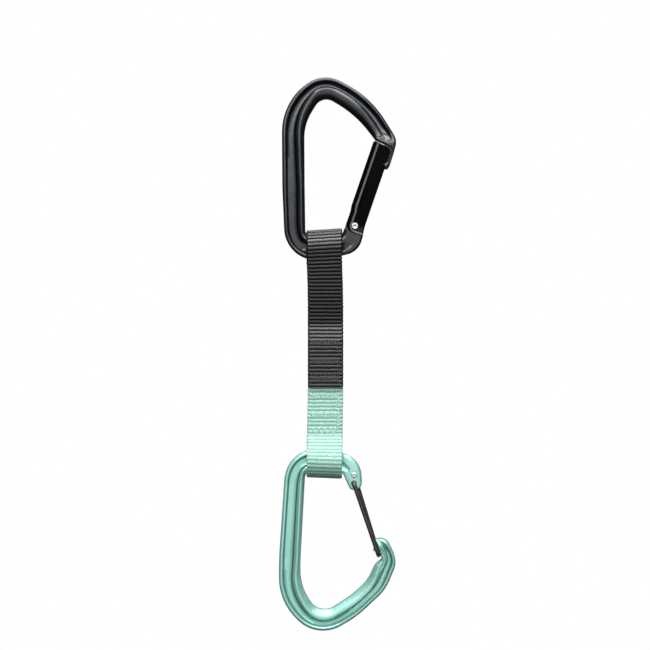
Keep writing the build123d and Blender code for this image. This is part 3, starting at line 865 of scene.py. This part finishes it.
def strap(name, side_view, seed):
    """Ribbed webbing along a side view: cross ribs of bumpy yarn, and rounded selvedges."""
    lengths = path_lengths(side_view)
    count = int(lengths[-1] / RIB_PITCH * RIB_SAMPLES)
    places = np.linspace(0, lengths[-1], count)
    middle = at_lengths(side_view, lengths, places)
    tangents = np.gradient(middle, axis=0)
    tangents /= np.linalg.norm(tangents, axis=1)[:, None]
    normals = np.stack([-tangents[:, 1], tangents[:, 0]], axis=-1)
    half_width = WEBBING_WIDTH / 2
    half = THICKNESS / 2 - RIB_HEIGHT
    edge = half_width - half
    flat = np.linspace(-edge, edge, FACE_POINTS)
    level = np.full(FACE_POINTS, half)
    turn = np.linspace(-math.pi / 2, math.pi / 2, SELVEDGE_POINTS)[1:-1]
    beyond = edge + half * np.cos(turn)
    rise = half * np.sin(turn)
    face = np.concatenate([flat, beyond, flat[::-1], -beyond])
    height = np.concatenate([-level, rise, level, -rise])
    draw = np.random.default_rng(seed)
    ribs = int(lengths[-1] / RIB_PITCH) + 3
    lift = draw.uniform(*RIB_LIFTS, ribs)
    shift = draw.uniform(0, 1, ribs)
    rings = []
    crests = []
    for place, (y, z), (ny, nz) in zip(places, middle, normals):
        wobble = RIB_WOBBLE * np.sin(2 * math.pi * face / YARN_PITCH)
        wave = RIB_DRIFT * np.sin(face * RIB_WAVES[0] + place * RIB_WAVES[1])
        phase = place / RIB_PITCH + wobble + wave
        number = np.floor(phase).astype(int) % ribs
        profile = np.sin(math.pi * (phase % 1)) ** RIB_FULLNESS
        yarn = 1 + YARN_BUMP * np.sin(2 * math.pi * (face / YARN_PITCH + shift[number]))
        bump = RIB_HEIGHT * lift[number] * profile * yarn
        out = np.where(np.abs(height) >= half - 1e-9, np.sign(height), height / half)
        sideways = np.sign(face) * np.sqrt(np.maximum(0, 1 - out**2)) * bump
        offset = height + out * bump
        lean = 0
        for slope, start, length in (TOP_LEAN, BOTTOM_LEAN):
            lean += slope * smooth(np.clip((z - start) / length, 0, 1))
        x = WEBBING_X + face + sideways + np.interp(z, *DRIFT)
        rings.append(np.stack([x, y + ny * offset, z + nz * offset + lean * face], axis=-1))
        crests.append(profile)
    return loft(name, rings, weld=False, marks=("crest", crests)), lengths[-1]


def whole_side_view(front, arc):
    """A strap's side view from its front half's corners and its loop round the bar."""
    run, _ = rounded_path(front + [(*arc[0], 0)], arc_step=0.4)
    back = run[::-1] * np.array((-1, 1))
    return np.concatenate([run[:-1], arc, back[1:]])


def black_side_view():
    tail_y = 1.5 * THICKNESS + PLIES_GAP
    inner_y = THICKNESS / 2 + SLACK
    radius = BOLT_LOOP_RADIUS + THICKNESS / 2
    arc = loop_side_view(BOLT_BAR_Z, radius, (-inner_y, FLEX_Z + BLACK_NECK))
    front = [(-tail_y, BLACK_END_Z, 0)]
    for y, (above, bend) in zip((-tail_y, -inner_y), BLACK_BENDS):
        front.append((y, FLEX_Z + above, bend))
    return whole_side_view(front, arc)


def teal_side_view():
    inner_y = THICKNESS / 2 + PLY_GAP
    radius = ROPE_LOOP_RADIUS + THICKNESS / 2
    arc = loop_side_view(ROPE_BAR_Z, radius, (-inner_y, TEAL_NECK_Z))
    above, bend = TEAL_BEND
    front = [(-inner_y, TEAL_TOP_Z, 0), (-inner_y, TEAL_NECK_Z + above, bend)]
    return whole_side_view(front, arc)


def thread_tube(name, corners):
    path, _ = rounded_path(corners, arc_count=4)
    return tube(name, path, THREAD_RADIUS, sides=8)


def zigzag(name, span, face, pitch):
    """A bar tack: one thread stitched to and fro across the strap, on the front and back."""
    top, bottom = span
    stitches = 2 * int(2 * TACK_HALF_WIDTH / pitch)
    end_bend, middle_bend = TACK_BENDS
    parts = []
    for side in (-1, 1):
        corners = []
        for i in range(stitches + 1):
            x = TACK_X - TACK_HALF_WIDTH + pitch * i / 2
            z = top if i % 2 else bottom
            corners.append((x, side * (face - TACK_UNDER), z, end_bend))
            if i < stitches:
                y = side * (face + TACK_OVER)
                corners.append((x + pitch / 4, y, (top + bottom) / 2, middle_bend))
        parts.append(thread_tube(name, corners))
    return joined(parts)


def running_stitches(name, tacks, face):
    """The stitches that lead from one bar tack to the next near the right selvedge."""
    parts = []
    for above, below in (("upper", "middle"), ("middle", "lower")):
        top = tacks[above][1]
        bottom = tacks[below][0]
        count = max(2, round((top - bottom) / RUN_PITCH))
        step = (bottom - top) / count
        for i in range(2 * count):
            side = -1 if i % 2 else 1
            high = top + step * (i // 2 + RUN_START)
            low = high + RUN_STITCH * step
            lean = RUN_LEAN if i // 2 % 2 else -RUN_LEAN
            under = side * (face - RUN_UNDER)
            over = side * (face + RUN_OVER)
            corners = [
                (RUN_X - lean, under, high, 0),
                (RUN_X - 0.6 * lean, over, (2 * high + low) / 3, RUN_BEND),
                (RUN_X + 0.6 * lean, over, (high + 2 * low) / 3, RUN_BEND),
                (RUN_X + lean, under, low, 0),
            ]
            parts.append(thread_tube(name, corners))
    return joined(parts)


def keeper():
    """The rubber wedge between the rope-end bar and the neck of the teal loop."""
    radius = ROPE_LOOP_RADIUS + SLACK
    seat = []
    for i in range(KEEPER_STEPS + 1):
        angle = math.radians(KEEPER_FROM + (180 - 2 * KEEPER_FROM) * i / KEEPER_STEPS)
        seat.append((radius * math.cos(angle), ROPE_BAR_Z + radius * math.sin(angle)))
    outline = seat + [(-KEEPER_TOP_HALF, KEEPER_TOP_Z), (KEEPER_TOP_HALF, KEEPER_TOP_Z)]
    middle = np.mean(outline, axis=0)
    half = KEEPER_WIDTH / 2
    taper, least = KEEPER_ENDS
    rings = []
    for x, share in ((-half, least), (taper - half, 1.0), (half - taper, 1.0), (half, least)):
        shrunk = middle + (np.array(outline) - middle) * share
        rings.append([(WEBBING_X + x, y, z) for y, z in shrunk])
    return loft("rope_end_rubber", rings)


# ---- materials ----


def new_material(name, **settings):
    """A material, its node tree and its shader's sockets, some of them set to one value."""
    material = bpy.data.materials.new(name)
    material.use_nodes = True
    surface = material.node_tree.nodes["Principled BSDF"].inputs
    for socket, value in settings.items():
        surface[socket.replace("_", " ")].default_value = value
    return material, material.node_tree, surface


def noise(tree, scale, detail, stretch=(1, 1, 1)):
    """Noise in the object's own coordinates. Its scale is in waves for each metre."""
    place = tree.nodes.new("ShaderNodeTexCoord")
    mapping = tree.nodes.new("ShaderNodeMapping")
    mapping.inputs["Scale"].default_value = stretch
    texture = tree.nodes.new("ShaderNodeTexNoise")
    texture.inputs["Scale"].default_value = scale
    texture.inputs["Detail"].default_value = detail
    tree.links.new(place.outputs["Object"], mapping.inputs["Vector"])
    tree.links.new(mapping.outputs["Vector"], texture.inputs["Vector"])
    return texture.outputs["Fac"]


def mark(tree, name):
    """The value that a mesh keeps at its vertices under this name."""
    node = tree.nodes.new("ShaderNodeAttribute")
    node.attribute_name = name
    return node.outputs["Fac"]


def ramp(tree, value, stops, socket=None):
    """Colours, or greys for plain numbers, across a value from 0 to 1."""
    node = tree.nodes.new("ShaderNodeValToRGB")
    elements = node.color_ramp.elements
    for i, (position, colour) in enumerate(stops):
        element = elements[i] if i < 2 else elements.new(position)
        element.position = position
        element.color = (*colour, 1) if hasattr(colour, "__len__") else (colour, colour, colour, 1)
    tree.links.new(value, node.inputs["Fac"])
    if socket:
        tree.links.new(node.outputs["Color"], socket)
    return node.outputs["Color"]


def worn(tree, surface, patches, rough, grain, strength, depth):
    """Roughness that varies over patches, and fine relief with its depth in millimetres."""
    ramp(tree, patches, [(0.3, rough[0]), (0.7, rough[1])], surface["Roughness"])
    node = tree.nodes.new("ShaderNodeBump")
    node.inputs["Strength"].default_value = strength
    node.inputs["Distance"].default_value = depth * MM
    tree.links.new(grain, node.inputs["Height"])
    tree.links.new(node.outputs["Normal"], surface["Normal"])


def product(tree, one, other, socket):
    """One colour multiplied by another."""
    node = tree.nodes.new("ShaderNodeVectorMath")
    node.operation = "MULTIPLY"
    tree.links.new(one, node.inputs[0])
    tree.links.new(other, node.inputs[1])
    tree.links.new(node.outputs["Vector"], socket)


def anodised(name, tones, deep, metallic, rough):
    """Satin anodised forging: faint mottling, fine grain, uneven polish, and painted shade in the
    channel's walls and hollows, where the colour is darker and the coat thinner.
    """
    material, tree, surface = new_material(name, Metallic=metallic, Coat_Roughness=0.18)
    dye = ramp(tree, noise(tree, 90.0, 3.0), [(0.35, tones[0]), (0.65, tones[1])])
    # painted shade: where the mesh marks it, the colour goes towards the deep tone and the coat
    # thins
    painted_shade = mark(tree, "painted_shade")
    shade = ramp(tree, painted_shade, [(0.1, (1, 1, 1)), (0.6, deep)])
    product(tree, dye, shade, surface["Base Color"])
    ramp(tree, painted_shade, [(0.1, 0.8), (0.6, 0.05)], surface["Coat Weight"])
    worn(tree, surface, noise(tree, 1400.0, 5.0), rough, noise(tree, 6500.0, 2.0), 0.12, 0.02)
    return material


def polished_black(name, tone, metallic, gloss, rough):
    """The gate's black finish, nearly a gloss. A lighter tone of it on the bevel is a painted
    highlight.
    """
    material, tree, surface = new_material(name, Metallic=metallic, Specular_IOR_Level=gloss)
    tones = [(0.35, 0.8 * tone), (0.65, 1.2 * tone)]
    ramp(tree, noise(tree, 140.0, 3.0), tones, surface["Base Color"])
    patches = noise(tree, 1800.0, 4.0)
    worn(tree, surface, patches, (rough, rough + 0.06), noise(tree, 5000.0, 2.0), 0.05, 0.01)
    return material


def grainy(name, dark, light, mottling, grain, rough, relief, **settings):
    """A finish of mottled colour, whose gloss and relief follow one grain."""
    material, tree, surface = new_material(name, **settings)
    ramp(tree, noise(tree, mottling, 3.0), [(0.3, dark), (0.7, light)], surface["Base Color"])
    lines = noise(tree, *grain)
    worn(tree, surface, lines, rough, lines, *relief)
    return material


def steel(name, tint, rough):
    """Bright steel with fine turning or drawing marks."""
    dark = tuple(0.85 * c for c in tint)
    grain = (3000.0, 4.0, (1, 1, 0.15))
    return grainy(name, dark, tint, 600.0, grain, rough, (0.2, 0.02), Metallic=1.0)


def wire_black(name, dark, light):
    """Black-finished stainless wire."""
    grain = (4000.0, 4.0, (1, 1, 0.2))
    coat = {"Metallic": 0.6, "Coat_Weight": 0.5, "Coat_Roughness": 0.15}
    return grainy(name, dark, light, 300.0, grain, (0.26, 0.38), (0.15, 0.015), **coat)


def fabric(name, tones, groove, sheen, gloss):
    """Nylon yarn: fine filaments, uneven dye and gloss on the ribs, and painted shade in the
    grooves between, where the colour is darker and there is no gloss.
    """
    material, tree, surface = new_material(name, Sheen_Weight=sheen, Sheen_Roughness=0.35)
    crest = mark(tree, "crest")
    dye = ramp(tree, noise(tree, 900.0, 4.0), [(0.35, tones[0]), (0.65, tones[1])])
    # painted shade: the colour darkens in the grooves between the ribs
    shade = ramp(tree, crest, [(0.25, groove), (0.75, 1.0)])
    product(tree, dye, shade, surface["Base Color"])
    ramp(tree, crest, [(0.45, 0.0), (0.9, gloss)], surface["Specular IOR Level"])
    filaments = noise(tree, 2600.0, 3.0, (0.25, 1, 1))
    worn(tree, surface, filaments, (0.28, 0.42), filaments, 0.5, 0.06)
    return material


def thread(name, dark, light):
    """Bonded polyester thread, with the twist of its plies."""
    plies = (7000.0, 2.0)
    return grainy(name, dark, light, 1500.0, plies, (0.35, 0.55), (0.5, 0.04), Sheen_Weight=0.2)


def rubber(name, dark, light):
    """Dull black rubber."""
    return grainy(name, dark, light, 400.0, (2500.0, 4.0), (0.6, 0.8), (0.4, 0.05))


# ---- assembly ----


def dress(obj, material, body, node, sharp=SHARP):
    """Gives a piece the material if one is given, its shading and its body, and hides the CAD node
    it stands for.
    """
    if material:
        obj.data.materials.clear()
        obj.data.materials.append(material)
    finish_normals(obj, sharp)
    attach(obj, body)
    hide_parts(node)
    return obj


ANODISED_BLACK = ((0.027, 0.03, 0.034), (0.037, 0.041, 0.046))
ANODISED_TEAL = ((0.38, 0.8, 0.69), (0.44, 0.86, 0.76))
NYLON_BLACK = ((0.007, 0.0076, 0.0085), (0.013, 0.0138, 0.0152))
NYLON_TEAL = ((0.36, 0.69, 0.55), (0.49, 0.82, 0.69))
# The third value of each forging is the colour of the painted shade in its channel's walls.
BLACK_METAL = anodised("black_anodised_finish", ANODISED_BLACK, (0.2, 0.2, 0.2), 0.8, (0.25, 0.33))
TEAL_METAL = anodised("teal_anodised_finish", ANODISED_TEAL, (0.02, 0.2, 0.16), 0.6, (0.32, 0.4))
GATE_FACE = polished_black("gate_gloss", tone=0.0015, metallic=0.0, gloss=0.06, rough=0.12)
# the bevel's lighter tone is a painted highlight along the gate's edge
GATE_BEVEL_HIGHLIGHT = polished_black("gate_bevel_painted_highlight", tone=0.12, metallic=0.3, gloss=0.5, rough=0.4)
BRIGHT = steel("bright_steel_finish", (0.86, 0.86, 0.87), (0.36, 0.46))
WIRE = wire_black("wire_finish", (0.07, 0.067, 0.069), (0.11, 0.106, 0.109))
# groove is the share of the colour left in the grooves: painted shade
BLACK_FABRIC = fabric("black_nylon", NYLON_BLACK, groove=0.5, sheen=0.01, gloss=0.9)
TEAL_FABRIC = fabric("teal_nylon", NYLON_TEAL, groove=0.6, sheen=0.12, gloss=0.6)
BLACK_THREAD = thread("black_sewing_thread", (0.03, 0.031, 0.033), (0.11, 0.112, 0.117))
TEAL_THREAD = thread("teal_sewing_thread", (0.52, 0.84, 0.74), (0.75, 0.96, 0.9))
RUBBER = rubber("keeper_rubber_finish", (0.01, 0.01, 0.01), (0.02, 0.02, 0.021))

dress(bolt_end_frame(), BLACK_METAL, "bolt_end_carabiner", "bolt_end_frame")
gate = bolt_end_gate(GATE_FACE, GATE_BEVEL_HIGHLIGHT)
dress(gate, None, "bolt_end_gate", "bolt_end_gate")
dress(rivet(), BRIGHT, "bolt_end_carabiner", "bolt_end_gate_rivet")
for node in ("bolt_end_gate_plunger", "bolt_end_gate_spring"):
    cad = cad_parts[node]
    cad.data.materials.clear()
    cad.data.materials.append(BRIGHT)

dress(rope_end_frame(), TEAL_METAL, "rope_end_carabiner", "rope_end_frame")
for side, body, hole, node in (
    (1, "wire_gate_back", UPPER_HOLE, "wire_gate_back_leg"),
    (-1, "wire_gate_front", LOWER_HOLE, "wire_gate_front_leg"),
):
    dress(wire_leg(body, hole, side), WIRE, body, node)
    dress(wire_head(f"{body}_head", hole, side), BRIGHT, body, node)

black_strap, black_length = strap("black_strap", black_side_view(), BLACK_SEED)
teal_strap, teal_length = strap("teal_strap", teal_side_view(), TEAL_SEED)
for strip, material in ((black_strap, BLACK_FABRIC), (teal_strap, TEAL_FABRIC)):
    strip.data.materials.append(material)
    finish_normals(strip, STRAP_SHARP)

SEWING = {
    "black": (BLACK_TACKS, BLACK_FACE, BLACK_THREAD),
    "teal": (TEAL_TACKS, TEAL_FACE, TEAL_THREAD),
}
sewn = {"black": [], "teal": []}
for colour, (tacks, face, finish) in SEWING.items():
    for level, span in tacks.items():
        pitch = OPEN_TACK_PITCH if (colour, level) == ("teal", "lower") else TACK_PITCH
        tack = zigzag(f"{level}_{colour}_zigzag", span, face, pitch)
        node = f"{level}_{colour}_bar_tack"
        sewn[colour].append(dress(tack, finish, "sling", node, THREAD_SHARP))
for colour, (tacks, face, finish) in SEWING.items():
    run = running_stitches(f"{colour}_running_stitch", tacks, face)
    node = "edge_stitching"
    sewn[colour].append(dress(run, finish, "sling", node, THREAD_SHARP))

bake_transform(black_strap)
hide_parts("black_webbing_loop", "black_webbing_tails")
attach(teal_strap, "sling")
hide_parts("teal_webbing")
dress(keeper(), RUBBER, "sling", "rope_end_keeper")


# ---- stage, light and camera ----


def pale_floor():
    """A pale round floor below the object, which lights nothing."""
    angles = np.linspace(0, 2 * math.pi, FLOOR_SIDES, endpoint=False)
    rim = [(FLOOR_RADIUS * math.cos(a), FLOOR_RADIUS * math.sin(a), FLOOR_Z) for a in angles]
    floor = new_object("floor", rim, [tuple(range(FLOOR_SIDES))])
    material, _, _ = new_material(
        "pale_floor",
        Base_Color=(FLOOR_SHADE, FLOOR_SHADE, FLOOR_SHADE, 1),
        Roughness=0.9,
        Emission_Color=(1, 1, 1, 1),
        Emission_Strength=FLOOR_GLOW,
    )
    floor.data.materials.append(material)
    floor.visible_diffuse = False
    floor.visible_glossy = False


def studio_world():
    """White behind the object. Its reflections see a dim room, paler above and dark aside."""
    world = bpy.data.worlds.new("studio")
    world.use_nodes = True
    tree = world.node_tree
    nodes = tree.nodes
    join = tree.links.new
    room = nodes["Background"]
    split = nodes.new("ShaderNodeSeparateXYZ")
    join(nodes.new("ShaderNodeTexCoord").outputs["Generated"], split.inputs["Vector"])
    height = nodes.new("ShaderNodeMapRange")
    height.inputs["From Min"].default_value = -1.0
    join(split.outputs["Z"], height.inputs["Value"])
    aside = nodes.new("ShaderNodeMath")
    aside.operation = "ABSOLUTE"
    join(split.outputs["X"], aside.inputs[0])
    up_shade = ramp(tree, height.outputs["Result"], ROOM_SHADES)
    side_shade = ramp(tree, aside.outputs["Value"], SIDE_SHADES)
    product(tree, up_shade, side_shade, room.inputs["Color"])
    white = nodes.new("ShaderNodeBackground")
    white.inputs["Color"].default_value = (1, 1, 1, 1)
    choice = nodes.new("ShaderNodeMixShader")
    join(nodes.new("ShaderNodeLightPath").outputs["Is Camera Ray"], choice.inputs["Fac"])
    join(room.outputs["Background"], choice.inputs[1])
    join(white.outputs["Background"], choice.inputs[2])
    join(choice.outputs["Shader"], nodes["World Output"].inputs["Surface"])
    bpy.context.scene.world = world


def soft_light(name, place, size, power, glossy=True):
    data = bpy.data.lights.new(name, "AREA")
    data.shape = "RECTANGLE"
    data.size, data.size_y = size
    data.energy = power
    lamp = bpy.data.objects.new(name, data)
    lamp.location = place
    lamp.visible_glossy = glossy
    aim = Vector(LIGHT_TARGET) - Vector(place)
    lamp.rotation_euler = aim.to_track_quat("-Z", "Y").to_euler()
    bpy.context.scene.collection.objects.link(lamp)


pale_floor()
studio_world()
soft_light("top_light", (0.0, -0.4, 0.7), (1.0, 0.4), 10.5)
soft_light("front_light", (0.0, -1.15, 0.38), (0.9, 0.5), 7.0)
soft_light("back_light", (0.0, 0.75, 0.75), (1.0, 0.4), 5.0)
for side in (-1, 1):
    soft_light("side_light", (side * 1.0, 0.7, 0.1), (0.8, 0.8), 5.0, glossy=False)
soft_light("near_fill", (0.0, -1.7, -0.45), (1.0, 1.0), 2.4)

camera_data = bpy.data.cameras.new("camera")
camera_data.lens = CAMERA_LENS
camera = bpy.data.objects.new("camera", camera_data)
camera.location = CAMERA_PLACE
camera.rotation_euler = (math.radians(90), 0, 0)
bpy.context.scene.collection.objects.link(camera)
bpy.context.scene.camera = camera
bpy.context.scene.view_settings.view_transform = "Standard"
